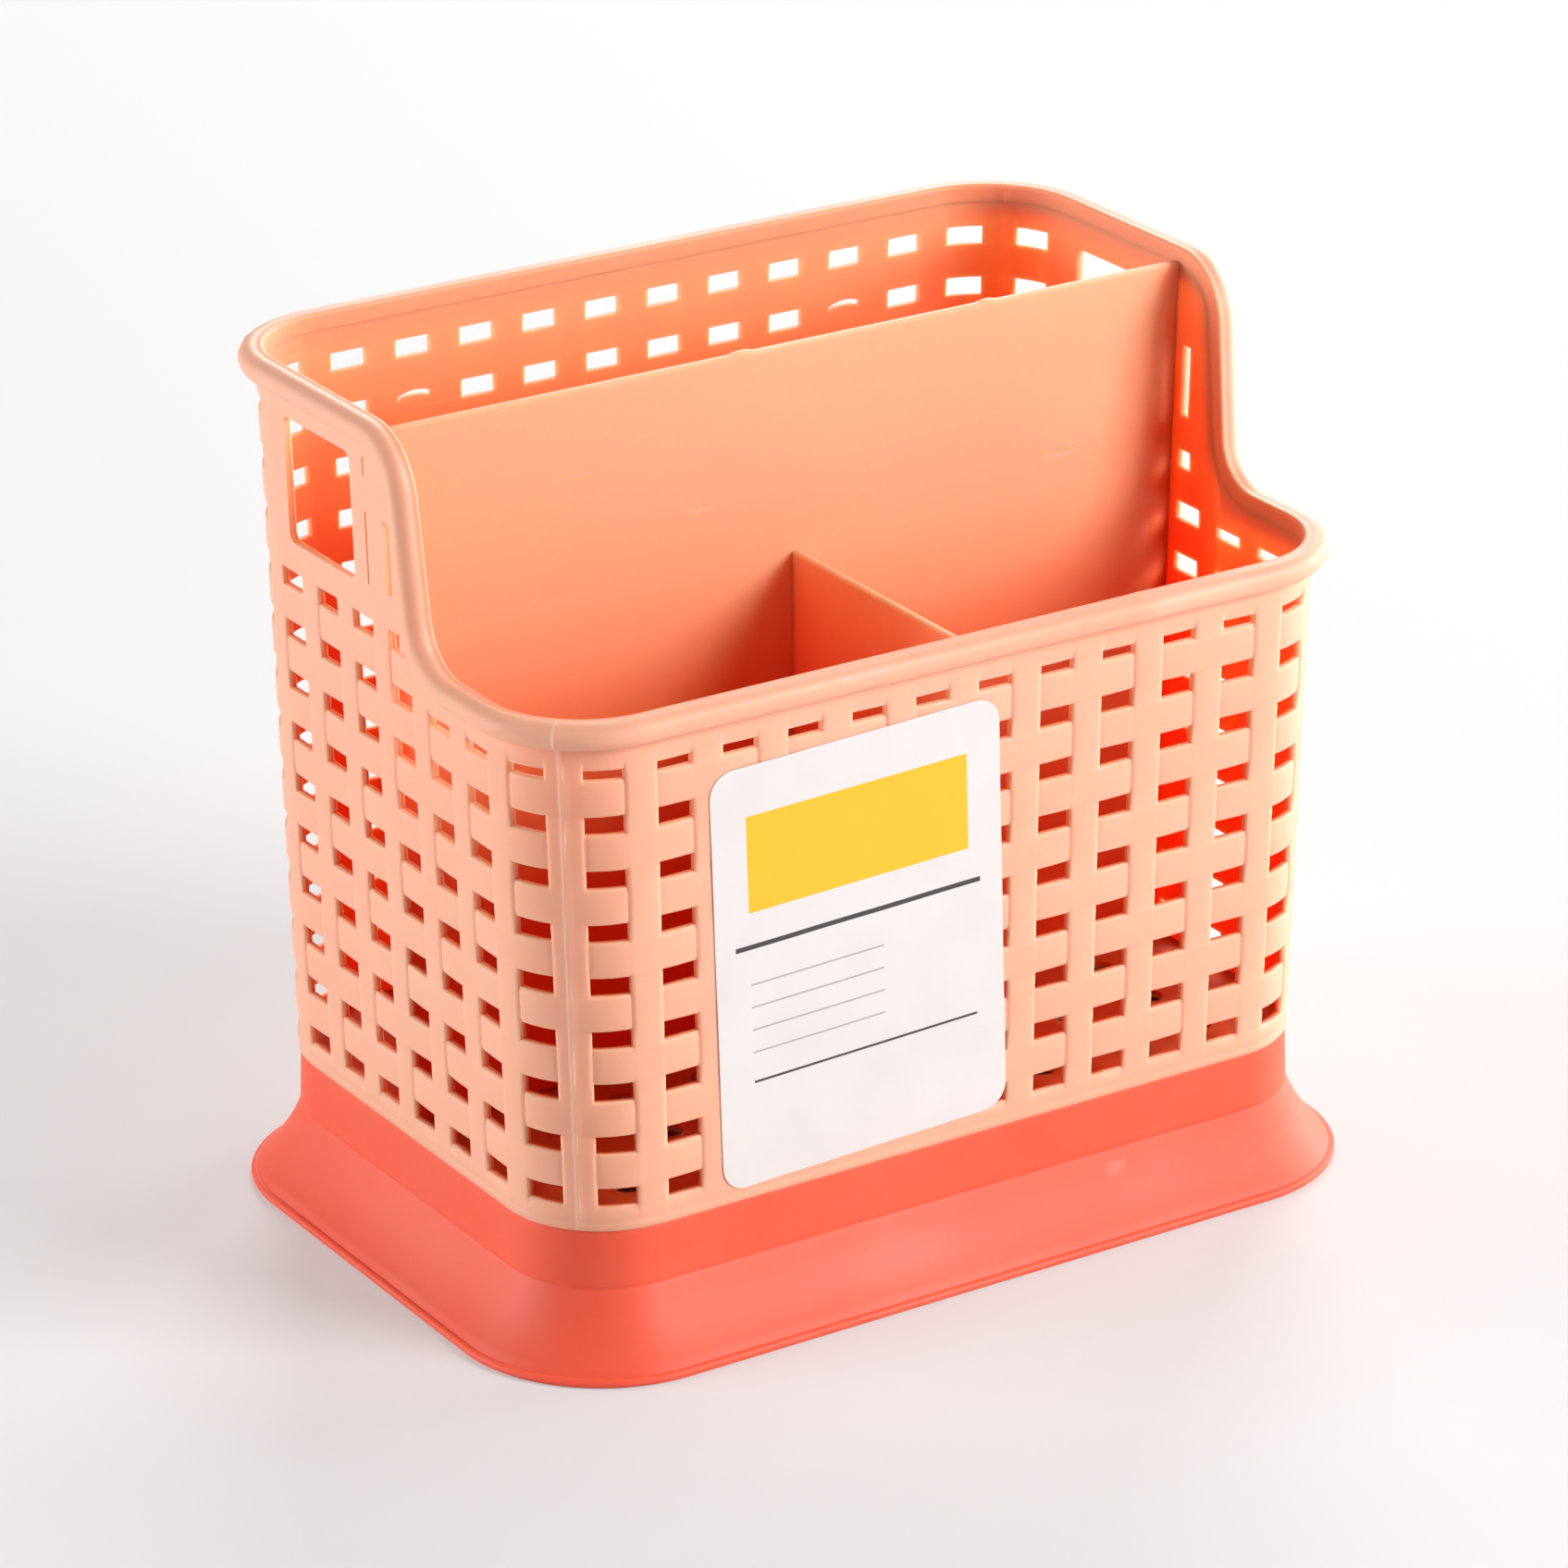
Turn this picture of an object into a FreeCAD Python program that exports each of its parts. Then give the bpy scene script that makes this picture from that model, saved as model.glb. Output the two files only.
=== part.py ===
# Chopstick holder: a basket with a moulded weave, two dividers and a paper label, standing in a drip tray.
# X runs along the long side, +Y to the tall back, +Z up. The origin is under the middle of the tray.
import FreeCAD
import Part
import math
import os

# Drip tray
foot_length = 157.0
foot_width = 110.0
foot_flare = 8.5
lip_radius = 0.6
lip_flat = 0.8
collar_height = 22.0
crease_height = 12.4
crease_reach = 0.35
skirt_sag = 0.8
tray_wall = 1.4
pan_floor = 1.4

# Basket walls, measured at the outside of the weave where the basket sits on the tray
basket_proud = 0.3
basket_corner = 16.6
basket_wall = 1.3
floor_wall = 1.5
end_lean_share = 0.0268
face_lean_share = 0.0037
high_rim = 139.0
low_rim = 104.2
locating_depth = 4.0
locating_wall = 1.2
locating_gap = 0.4

# Rim bead that follows the stepped top edge
bead_height = 4.2
bead_reach = 2.5
bead_inner_round = 0.5
bead_lap = 0.15
bead_seat = 1.6
bead_foot_share = 0.7
drop_place = -12.4
drop_angle = 7.0
shoulder_radius = 11.0
hollow_radius = 8.0

# Weave openings
front_pitch = 11.1
end_pitch = 10.81
row_pitch = 8.577
lowest_row = 27.56
opening_length = 6.0
opening_height = 3.0
front_columns = 12
end_columns = 8
row_count = 13
front_top_edge = 96.4
drop_margin = 9.1
narrowest_slit = 0.45
hanger_columns = (2, 9)
hanger_row = 11
hanger_slit_height = 0.9
hanger_slit_arch = 0.7

# Hand windows in the two end walls
window_front = 6.8
window_back = 26.9
window_bottom = 111.2
window_top = 131.4
window_corner = 1.5
window_front_margin = 3.8
window_back_margin = 5.0

# Drain holes in the basket floor
drain_diameter = 5.0
drain_pitch_x = 15.0
drain_pitch_y = 13.0
drain_first_y = 9.5
drain_columns = 8
drain_rows = 3

# Dividers
divider_wall = 1.5
divider_drop = 2.3
cross_drop = 0.9

# Paper label on the front
label_width = 51.0
label_height = 68.0
label_corner = 4.0
label_paper = 0.12
label_centre_x = -18.4
label_centre_z = 58.9
label_turn = 1.9

overrun = 3.0


def point(x, y, z):
    return FreeCAD.Vector(x, y, z)


up = point(0, 0, 1)
collar_half_length = foot_length / 2 - foot_flare
collar_half_width = foot_width / 2 - foot_flare
seat = collar_height
end_tilt = math.atan(end_lean_share)


def half_length(z):
    return collar_half_length + basket_proud + end_lean_share * (z - seat)


def half_width(z):
    return collar_half_width + basket_proud + face_lean_share * (z - seat)


def rounded_rectangle(half_x, half_y, radius, z):
    # One closed wire, anticlockwise from the middle of the +Y side.
    turn = radius * math.sqrt(0.5)
    flat_x = half_x - radius
    flat_y = half_y - radius
    start = point(0, half_y, z)
    edges = []
    last = start
    for sign_x, sign_y in ((-1, 1), (-1, -1), (1, -1), (1, 1)):
        on_y_side = point(sign_x * flat_x, sign_y * half_y, z)
        on_x_side = point(sign_x * half_x, sign_y * flat_y, z)
        middle = point(sign_x * (flat_x + turn), sign_y * (flat_y + turn), z)
        first, second = (on_y_side, on_x_side) if sign_x == -sign_y else (on_x_side, on_y_side)
        edges.append(Part.LineSegment(last, first).toShape())
        edges.append(Part.Arc(first, middle, second).toShape())
        last = second
    edges.append(Part.LineSegment(last, start).toShape())
    return Part.Wire(edges)


def rounded_path(corners, radii):
    # Lines joined by tangent arcs, in a plane; corners are vectors, radii belong to the inner ones.
    edges = []
    last = corners[0]
    for before, corner, after, radius in zip(corners, corners[1:], corners[2:], radii):
        back = (before - corner).normalize()
        ahead = (after - corner).normalize()
        half_angle = back.getAngle(ahead) / 2
        reach = radius / math.tan(half_angle)
        first = corner + back * reach
        second = corner + ahead * reach
        bisector = (back + ahead).normalize()
        middle = corner + bisector * (radius / math.sin(half_angle) - radius)
        edges.append(Part.LineSegment(last, first).toShape())
        edges.append(Part.Arc(first, middle, second).toShape())
        last = second
    edges.append(Part.LineSegment(last, corners[-1]).toShape())
    return edges


def drop_line(z):
    # Place along Y of the steep part of the rim at a height.
    middle = (high_rim + low_rim) / 2
    return drop_place + (z - middle) * math.tan(math.radians(drop_angle))


def tray_shape():
    half_x = collar_half_length
    half_y = collar_half_width
    spine = rounded_rectangle(half_x, half_y, basket_corner - basket_proud, collar_height)

    def at(out, z):
        return point(0, half_y + out, z)

    lip_top = at(foot_flare - lip_radius, 2 * lip_radius)
    crease = at(crease_reach, crease_height)
    chord = lip_top - crease
    square = point(0, -chord.z, chord.y).normalize()
    skirt_middle = (crease + lip_top) * 0.5 - square * skirt_sag
    inward = square * -tray_wall
    inner_lip = at(foot_flare - lip_radius - lip_flat, 0)
    inner_crease = at(crease_reach - tray_wall, crease_height - pan_floor)
    edges = [
        Part.LineSegment(at(-tray_wall, collar_height), at(0, collar_height)),
        Part.LineSegment(at(0, collar_height), crease),
        Part.Arc(crease, skirt_middle, lip_top),
        Part.Arc(lip_top, at(foot_flare, lip_radius), at(foot_flare - lip_radius, 0)),
        Part.LineSegment(at(foot_flare - lip_radius, 0), inner_lip),
        Part.Arc(inner_lip, skirt_middle + inward, inner_crease),
        Part.LineSegment(inner_crease, at(-tray_wall, crease_height - pan_floor)),
        Part.LineSegment(at(-tray_wall, crease_height - pan_floor), at(-tray_wall, collar_height)),
    ]
    profile = Part.Wire([edge.toShape() for edge in edges])
    ring = spine.makePipeShell([profile], True, False)
    pan_reach = -tray_wall / 2
    pan_corner = basket_corner - basket_proud + pan_reach
    pan = rounded_rectangle(half_x + pan_reach, half_y + pan_reach, pan_corner, crease_height - pan_floor)
    return ring.fuse(Part.Face(pan).extrude(up * pan_floor)).removeSplitter()


def wall_block(inset, bottom, top):
    # A closed block with flat leaning walls and rounded corners.
    lower, upper = (
        rounded_rectangle(half_length(z) - inset, half_width(z) - inset, basket_corner - inset, z)
        for z in (bottom, top)
    )
    faces = [Part.Face(lower), Part.Face(upper)]
    for below, above in zip(lower.OrderedEdges, upper.OrderedEdges):
        if isinstance(below.Curve, Part.Line):
            corners = [below.firstVertex(True).Point, below.lastVertex(True).Point]
            corners += [above.lastVertex(True).Point, above.firstVertex(True).Point]
            faces.append(Part.Face(Part.makePolygon(corners + corners[:1])))
        else:
            faces.append(Part.makeRuledSurface(below, above))
    shell = Part.makeShell(faces)
    shell.sewShape()
    return Part.makeSolid(shell).removeSplitter()


def step_cut(lower):
    # Everything above the stepped top edge, lowered into the wall by the given amount.
    slope = math.radians(drop_angle)
    shift = lower / math.cos(slope)
    far = foot_width
    top = high_rim + overrun
    upper_z = high_rim - lower
    lower_z = low_rim - lower
    corners = [
        point(0, far, upper_z),
        point(0, drop_line(upper_z) + shift, upper_z),
        point(0, drop_line(lower_z) + shift, lower_z),
        point(0, -far, lower_z),
    ]
    edges = rounded_path(corners, (shoulder_radius - lower, hollow_radius + lower))
    edges.append(Part.LineSegment(corners[-1], point(0, -far, top)).toShape())
    edges.append(Part.LineSegment(point(0, -far, top), point(0, far, top)).toShape())
    edges.append(Part.LineSegment(point(0, far, top), corners[0]).toShape())
    block = Part.Face(Part.Wire(edges)).extrude(point(2 * foot_length, 0, 0))
    block.translate(point(-foot_length, 0, 0))
    return block


def rim_spine():
    # The rim's path on the outside of the wall: back, end, front, end, closed at the middle of the back.
    turn = basket_corner * math.sqrt(0.5)
    upper_flat_y = half_width(high_rim) - basket_corner
    lower_flat_y = half_width(low_rim) - basket_corner

    def end_path(side):
        def on_end(y, z):
            return point(side * half_length(z), y, z)

        corners = [
            on_end(upper_flat_y, high_rim),
            on_end(drop_line(high_rim), high_rim),
            on_end(drop_line(low_rim), low_rim),
            on_end(-lower_flat_y, low_rim),
        ]
        return rounded_path(corners, (shoulder_radius, hollow_radius))

    def corner_arc(side_x, side_y, z):
        flat_x = half_length(z) - basket_corner
        flat_y = half_width(z) - basket_corner
        return Part.Arc(
            point(side_x * flat_x, side_y * half_width(z), z),
            point(side_x * (flat_x + turn), side_y * (flat_y + turn), z),
            point(side_x * half_length(z), side_y * flat_y, z),
        ).toShape()

    upper_flat_x = half_length(high_rim) - basket_corner
    lower_flat_x = half_length(low_rim) - basket_corner
    back = half_width(high_rim)
    front = -half_width(low_rim)
    edges = [Part.LineSegment(point(0, back, high_rim), point(-upper_flat_x, back, high_rim)).toShape()]
    edges.append(corner_arc(-1, 1, high_rim))
    edges.extend(end_path(-1))
    edges.append(corner_arc(-1, -1, low_rim))
    front_left = point(-lower_flat_x, front, low_rim)
    front_right = point(lower_flat_x, front, low_rim)
    edges.append(Part.LineSegment(front_left, front_right).toShape())
    edges.append(corner_arc(1, -1, low_rim))
    edges.extend(reversed(end_path(1)))
    edges.append(corner_arc(1, 1, high_rim))
    edges.append(Part.LineSegment(point(upper_flat_x, back, high_rim), point(0, back, high_rim)).toShape())
    return Part.Wire(Part.__sortEdges__(edges))


def rim_shape():
    base = half_width(high_rim)

    def at(out, rise):
        return point(0, base + out, high_rim + rise)

    inner = -basket_wall - bead_lap
    foot = -bead_height * bead_foot_share
    bead_start = bead_reach - bead_height / 2
    inner_turn = bead_inner_round * math.sqrt(0.5)
    round_centre = inner + bead_inner_round
    edges = [
        Part.LineSegment(at(inner, foot), at(inner, -bead_inner_round)),
        Part.Arc(
            at(inner, -bead_inner_round),
            at(round_centre - inner_turn, inner_turn - bead_inner_round),
            at(round_centre, 0),
        ),
        Part.LineSegment(at(round_centre, 0), at(bead_start, 0)),
        Part.Arc(at(bead_start, 0), at(bead_reach, -bead_height / 2), at(bead_start, -bead_height)),
        Part.LineSegment(at(bead_start, -bead_height), at(-basket_wall / 2, -bead_height)),
        Part.LineSegment(at(-basket_wall / 2, -bead_height), at(-basket_wall / 2, foot)),
        Part.LineSegment(at(-basket_wall / 2, foot), at(inner, foot)),
    ]
    profile = Part.Wire([edge.toShape() for edge in edges])
    return rim_spine().makePipeShell([profile], True, False)


def opening_block(face, along, z, length, height):
    # A block through the wall; along is measured round the wall from the middle of its face.
    middle_z = (lowest_row + front_top_edge) / 2
    inset = basket_wall / 2
    radius = basket_corner - inset
    if face in ("front", "back"):
        across = half_length
        out = half_width(z) - inset
        along = along * across(z) / across(middle_z)
    else:
        across = half_width
        out = half_length(z) - inset
    flat = across(z) - basket_corner
    side = 1 if along >= 0 else -1
    past = max(abs(along) - flat, 0) / radius
    place = side * (min(abs(along), flat) + radius * math.sin(past))
    depth = out - radius * (1 - math.cos(past))
    deep = basket_wall + 2 * overrun
    block = Part.makeBox(length, deep, height, point(-length / 2, -deep / 2, -height / 2))
    block.rotate(point(0, 0, 0), up, -side * math.degrees(past))
    block.translate(point(place, depth, z))
    turns = {"back": 0, "left": 90, "front": 180, "right": 270}
    block.rotate(point(0, 0, 0), up, turns[face])
    return block


def end_limits(row, low, high):
    # How far an end-wall opening may run towards the front and back, given the step and the window.
    middle = lowest_row + row * row_pitch
    top = middle + opening_height / 2
    bottom = middle - opening_height / 2
    if bottom > front_top_edge:
        low = max(low, drop_line(middle) + drop_margin)
    front_stop = window_front - window_front_margin
    back_stop = window_back + window_back_margin
    beside_window = top > window_bottom and bottom < window_top
    if beside_window and high > front_stop and low < back_stop:
        if low < front_stop:
            high = front_stop
        else:
            low = max(low, back_stop)
    return low, high


def weave_openings():
    blocks = []
    for row in range(row_count):
        z = lowest_row + row * row_pitch
        bottom = z - opening_height / 2
        for column in range(front_columns):
            along = (column - (front_columns - 1) / 2) * front_pitch
            if not (row == hanger_row and column in hanger_columns):
                blocks.append(opening_block("back", along, z, opening_length, opening_height))
            height = min(opening_height, front_top_edge - bottom)
            if height > narrowest_slit:
                blocks.append(opening_block("front", along, bottom + height / 2, opening_length, height))
        for column in range(end_columns):
            y = (column - (end_columns - 1) / 2) * end_pitch
            low, high = end_limits(row, y - opening_length / 2, y + opening_length / 2)
            ahead_of_step = y + opening_length / 2 < drop_line(low_rim) + drop_margin
            height = opening_height
            if ahead_of_step:
                height = min(opening_height, front_top_edge - bottom)
            if high - low < narrowest_slit or height < narrowest_slit:
                continue
            middle = (low + high) / 2
            blocks.append(opening_block("left", middle, bottom + height / 2, high - low, height))
            blocks.append(opening_block("right", -middle, bottom + height / 2, high - low, height))
    return blocks


def hanger_slits():
    slits = []
    z = lowest_row + hanger_row * row_pitch + opening_height / 2
    for column in hanger_columns:
        x = (column - (front_columns - 1) / 2) * front_pitch
        y = half_width(z) - basket_wall - overrun
        left = x - opening_length / 2
        right = x + opening_length / 2
        lower = z - hanger_slit_height - hanger_slit_arch
        edges = [
            Part.Arc(point(left, y, lower), point(x, y, lower + hanger_slit_arch), point(right, y, lower)),
            Part.LineSegment(point(right, y, lower), point(right, y, lower + hanger_slit_height)),
            Part.Arc(
                point(right, y, lower + hanger_slit_height),
                point(x, y, z),
                point(left, y, lower + hanger_slit_height),
            ),
            Part.LineSegment(point(left, y, lower + hanger_slit_height), point(left, y, lower)),
        ]
        outline = Part.Face(Part.Wire([edge.toShape() for edge in edges]))
        slits.append(outline.extrude(point(0, basket_wall + 2 * overrun, 0)))
    return slits


def windows():
    corners = [
        (window_front, window_bottom),
        (window_back, window_bottom),
        (window_back, window_top),
        (window_front, window_top),
    ]
    middle = (window_front + window_back) / 2
    start = point(-foot_length, middle, window_bottom)
    loop = [start]
    for y, z in (corners[1], corners[2], corners[3], corners[0]):
        loop.append(point(-foot_length, y, z))
    loop.append(start)
    outline = Part.Wire(rounded_path(loop, [window_corner] * len(corners)))
    return [Part.Face(outline).extrude(point(2 * foot_length, 0, 0))]


def drains():
    holes = []
    deep = floor_wall + 2 * overrun
    for column in range(drain_columns):
        x = (column - (drain_columns - 1) / 2) * drain_pitch_x
        for row in range(drain_rows):
            for side in (-1, 1):
                y = side * (drain_first_y + row * drain_pitch_y)
                holes.append(Part.makeCylinder(drain_diameter / 2, deep, point(x, y, seat - overrun), up))
    return holes


def basket_shape():
    floor_top = seat + floor_wall
    walls = wall_block(0, seat, high_rim).cut(wall_block(basket_wall, floor_top, high_rim + overrun))
    walls = walls.cut(step_cut(bead_seat))
    ring_x = collar_half_length - tray_wall - locating_gap
    ring_y = collar_half_width - tray_wall - locating_gap
    ring_corner = basket_corner - basket_proud - tray_wall - locating_gap
    ring_foot = seat - locating_depth
    outer, inner = (
        Part.Face(rounded_rectangle(ring_x - inset, ring_y - inset, ring_corner - inset, ring_foot))
        for inset in (0, locating_wall)
    )
    body = walls.fuse(outer.cut(inner).extrude(up * locating_depth)).fuse(rim_shape())
    for cutters in (windows(), drains(), hanger_slits(), weave_openings()):
        body = body.cut(Part.makeCompound(cutters))
    return body


def long_divider_shape():
    bottom = seat + floor_wall
    top = high_rim - divider_drop
    thick = divider_wall / 2
    corners = []
    for side, z in ((-1, bottom), (1, bottom), (1, top), (-1, top)):
        corners.append(point(side * (half_length(z) - basket_wall), -thick, z))
    return Part.Face(Part.makePolygon(corners + corners[:1])).extrude(point(0, divider_wall, 0))


def cross_divider_shape():
    bottom = seat + floor_wall
    top = low_rim - cross_drop
    thick = divider_wall / 2
    back = -divider_wall / 2
    corners = [
        point(-thick, back, bottom),
        point(-thick, basket_wall - half_width(bottom), bottom),
        point(-thick, basket_wall - half_width(top), top),
        point(-thick, back, top),
    ]
    return Part.Face(Part.makePolygon(corners + corners[:1])).extrude(point(divider_wall, 0, 0))


def label_shape():
    half_x = label_width / 2
    half_y = label_height / 2
    outline = rounded_rectangle(half_x, half_y, label_corner, 0)
    sheet = Part.Face(outline).extrude(up * label_paper)
    origin = point(0, 0, 0)
    sheet.rotate(origin, up, label_turn)
    sheet.rotate(origin, point(1, 0, 0), 90 + math.degrees(math.atan(face_lean_share)))
    sheet.translate(point(label_centre_x, -half_width(label_centre_z), label_centre_z))
    return sheet


os.makedirs("parts", exist_ok=True)
nodes = {
    "drip_tray": tray_shape,
    "basket": basket_shape,
    "long_divider": long_divider_shape,
    "cross_divider": cross_divider_shape,
    "front_label": label_shape,
}
for name, make in nodes.items():
    shape = make()
    shape.exportStep("parts/" + name + ".step")
    print(name, shape.isValid(), len(shape.Solids), round(shape.Volume, 1), shape.optimalBoundingBox())
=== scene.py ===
import math
from itertools import product

import bmesh
import bpy
from mathutils import Matrix, Vector


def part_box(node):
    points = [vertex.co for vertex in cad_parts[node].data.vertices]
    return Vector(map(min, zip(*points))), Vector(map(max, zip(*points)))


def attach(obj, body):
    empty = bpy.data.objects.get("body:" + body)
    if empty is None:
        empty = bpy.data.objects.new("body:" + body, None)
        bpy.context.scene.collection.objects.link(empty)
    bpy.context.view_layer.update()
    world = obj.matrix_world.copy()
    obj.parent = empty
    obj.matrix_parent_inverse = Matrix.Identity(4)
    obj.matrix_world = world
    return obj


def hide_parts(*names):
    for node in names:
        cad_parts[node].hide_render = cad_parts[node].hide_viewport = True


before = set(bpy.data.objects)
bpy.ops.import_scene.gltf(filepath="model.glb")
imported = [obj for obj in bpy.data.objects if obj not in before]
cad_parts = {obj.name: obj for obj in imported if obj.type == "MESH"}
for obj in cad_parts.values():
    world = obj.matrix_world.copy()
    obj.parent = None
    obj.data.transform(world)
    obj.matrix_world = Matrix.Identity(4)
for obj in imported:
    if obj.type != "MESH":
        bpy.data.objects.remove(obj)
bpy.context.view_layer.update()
print("frame:", ", ".join(sorted(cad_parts)))

mm = 1000.0  # shapes are worked in millimetres and shrunk to metres at the end
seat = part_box("drip_tray")[1].z * mm
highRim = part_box("basket")[1].z * mm
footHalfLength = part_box("drip_tray")[1].x * mm
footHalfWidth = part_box("drip_tray")[1].y * mm


def feed(node, values):
    # each socket, by name or number, takes a link or a plain value
    for name, value in values.items():
        if isinstance(value, bpy.types.NodeSocket):
            node.id_data.links.new(value, node.inputs[name])
        else:
            node.inputs[name].default_value = value


def newNode(socket, kind, values):
    # in the same tree as the socket
    node = socket.id_data.nodes.new("ShaderNode" + kind)
    feed(node, values)
    return node


def noiseNode(coords, scale, detail, stretch=(1, 1, 1)):
    mapping = newNode(coords, "Mapping", {"Vector": coords, "Scale": stretch})
    values = {"Vector": mapping.outputs["Vector"], "Scale": scale, "Detail": detail}
    return newNode(coords, "TexNoise", values).outputs["Fac"]


def placed(coords, **place):
    # coordinates as seen from a place of their own
    mapping = newNode(coords, "Mapping", {"Vector": coords, **place})
    mapping.vector_type = "TEXTURE"
    return mapping.outputs["Vector"]


def spread(value, fromLow, fromHigh, toLow=0, toHigh=1):
    ends = {"From Min": fromLow, "From Max": fromHigh, "To Min": toLow, "To Max": toHigh}
    return newNode(value, "MapRange", {"Value": value, **ends}).outputs["Result"]


def blended(factor, first, second, kind="RGBA"):
    node = newNode(factor, "Mix", {"Factor": factor})
    node.data_type = "RGBA" if kind == "RGBA" else "FLOAT"
    names = [socket.name + socket.type for socket in node.inputs]
    for name, value in (("A", first), ("B", second)):
        feed(node, {names.index(name + kind): value + (1,) if isinstance(value, tuple) else value})
    return [socket for socket in node.outputs if socket.type == kind][0]


def valueMath(operation, *values):
    node = newNode(values[0], "Math", dict(enumerate(values)))
    node.operation = operation
    return node.outputs[0]


def vectorMath(operation, first, second=(0, 0, 0)):
    node = newNode(first, "VectorMath", {0: first, 1: second})
    node.operation = operation
    return node.outputs["Value" if operation in ("LENGTH", "DOT_PRODUCT") else "Vector"]


def parts(vector):
    return newNode(vector, "SeparateXYZ", {"Vector": vector}).outputs


def bumpFrom(height, strength, distance):
    values = {"Height": height, "Strength": strength, "Distance": distance}
    return newNode(height, "Bump", values).outputs["Normal"]


def newMaterial(name):
    material = bpy.data.materials.new(name)
    material.use_nodes = True
    tree = material.node_tree
    shader = tree.nodes["Principled BSDF"]
    coords = tree.nodes.new("ShaderNodeTexCoord").outputs["Object"]
    return material, shader, coords


wall = {
    "halfLength": 70.3,    # outside of the weave, at the seat
    "halfWidth": 46.8,
    "endLean": 0.0268,     # outward lean for each mm of height
    "faceLean": 0.0037,
    "corner": 16.6,
    "thick": 1.3,
    "lowRim": 104.2,
    "rimTuck": 1.6,        # the wall ends this far inside the rim
    "dropPlace": -12.4,    # the step on the ends
    "dropAngle": 7.0,
    "shoulder": 11.0,
    "hollow": 8.0,
    "pathReach": 60.0,     # the step's line runs past both faces
    "pathSteps": 12,
}
peachLook = {
    "colour": (0.985, 0.49, 0.335),
    "deeper": (0.98, 0.46, 0.305),
    # painted light: the inner faces take a deeper orange for the glow through the plastic, and painted
    # shade turns it redder and darker further down inside
    "inside": (0.985, 0.405, 0.232),
    "deepInsideShade": (0.97, 0.235, 0.085),
    "lowInside": (0.95, 0.13, 0.04),
    # the parting line is paler: partly the thin flash's own tone, partly painted highlight along its ridge
    "flash": (0.985, 0.63, 0.49),
    # scratches and smudges: middle, half sizes, strength
    "marks": (
        ((49.5, -0.75, 110.0), (5.5, 1.0, 1.6), 0.7),
        ((-37.0, -0.75, 88.0), (7.0, 1.0, 1.8), 0.8),
        ((-17.0, -0.75, 114.0), (4.0, 1.0, 1.4), 0.5),
    ),
    "scuffed": (0.97, 0.62, 0.49),
    "roughness": (0.48, 0.58),
    "clouds": (28, 3),              # scale, detail
    "subsurfaceRadius": (1.0, 0.7, 0.5),
    "rimReach": (0.0004, 0.0014),   # outside and inside, where rim and wall overlap
    "subsurfaceReach": 0.0014,
    "insideReach": 0.0045,          # light comes further through the walls
    "sheen": (0.5, 0.08),           # less of it low down inside
    # where the masks begin and are full, in mm behind the outside of the wall
    "insideFrom": (0.45, 0.95),
    "edgeFrom": (0.3, 0.55),
    "middleFrom": (3.0, 6.0),
    "floorFrom": (0.4, 0.9),        # above the seat
    "partingLine": (0.12, 0.3),     # off the line
    # painted shade: it deepens over these depths below the rim, and the reddest shade and the lower sheen
    # come in over the low ones
    "deepShadeDepths": (0, 0.022),       # metres below the rim
    "lowDepths": (0.03, 0.055),
    "rimDepths": (0.003, 0.006),
    "stepFrom": (-14, -9),          # y where the low rim ends and the high one begins
    "panelFrom": (0, 1),
    "grain": (1500, 2),
    "grainStrength": 0.06,
}
coralLook = {
    "colour": (0.95, 0.132, 0.064),
    "deeper": (0.93, 0.112, 0.05),
    "scuffed": (0.95, 0.30, 0.22),
    "marks": (
        ((8.5, -48.5, 12.0), (4.0, 4.0, 2.6), 0.6),
        ((28.5, -49.5, 10.5), (3.0, 4.0, 2.2), 0.6),
    ),
    "roughness": (0.52, 0.62),
    "clouds": (24, 3),
    "subsurfaceRadius": (1.0, 0.5, 0.35),
    "subsurfaceReach": 0.0007,
    "grain": (1400, 2),
    "grainStrength": 0.05,
}
# what both plastics share
surface = {
    "cloudRange": (0.35, 0.65),
    "glossRange": (0.3, 0.7),
    "streaks": (60, 4, (0.5, 0.5, 14)),   # scale, detail, stretch
    "streakRange": (0.66, 0.74),
    "patches": (18, 2),
    "patchRange": (0.56, 0.68),
    "scuffStrength": 0.5,
    "scratches": (160, 4, (0.25, 1, 3)),
    "scratchRange": (0.5, 0.62),
    "markCore": 0.3,       # share of a mark that is at full strength
    "grainDepth": 0.0002,
    "ior": 1.49,
    "subsurface": 1.0,
}


def wallMasks(coords, look):
    # from 0 to 1: inside the wall, from the openings' edges inwards, well away from the wall,
    # and along the parting lines of the corners
    corner = wall["corner"]
    quarter = vectorMath("ABSOLUTE", coords)
    height = parts(quarter)["Z"]
    flat = vectorMath("MULTIPLY", quarter, (1, 1, 0))
    lean = spread(height, seat / mm, highRim / mm)
    low = (wall["halfLength"] - corner, wall["halfWidth"] - corner)
    slopes = (wall["endLean"], wall["faceLean"])
    high = tuple(edge + slope * (highRim - seat) for edge, slope in zip(low, slopes))
    edge = blended(lean, (low[0] / mm, low[1] / mm, 0), (high[0] / mm, high[1] / mm, 0))
    past = vectorMath("SUBTRACT", flat, edge)
    outwards = vectorMath("MAXIMUM", past)
    reach = vectorMath("LENGTH", outwards)
    offLine = valueMath("ABSOLUTE", vectorMath("DOT_PRODUCT", outwards, (1, -1, 0)))

    def behind(start, full):
        return spread(reach, (corner - full) / mm, (corner - start) / mm, 1, 0)

    lineCore, lineEdge = look["partingLine"]
    floorLow, floorHigh = look["floorFrom"]
    aboveFloor = spread(height, (seat + floorLow) / mm, (seat + floorHigh) / mm)
    return {
        "inside": valueMath("MULTIPLY", behind(*look["insideFrom"]), aboveFloor),
        "edge": behind(*look["edgeFrom"]),
        "middle": behind(*look["middleFrom"]),
        "parting": spread(offLine, lineCore / mm, lineEdge / mm, 1, 0),
    }


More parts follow.
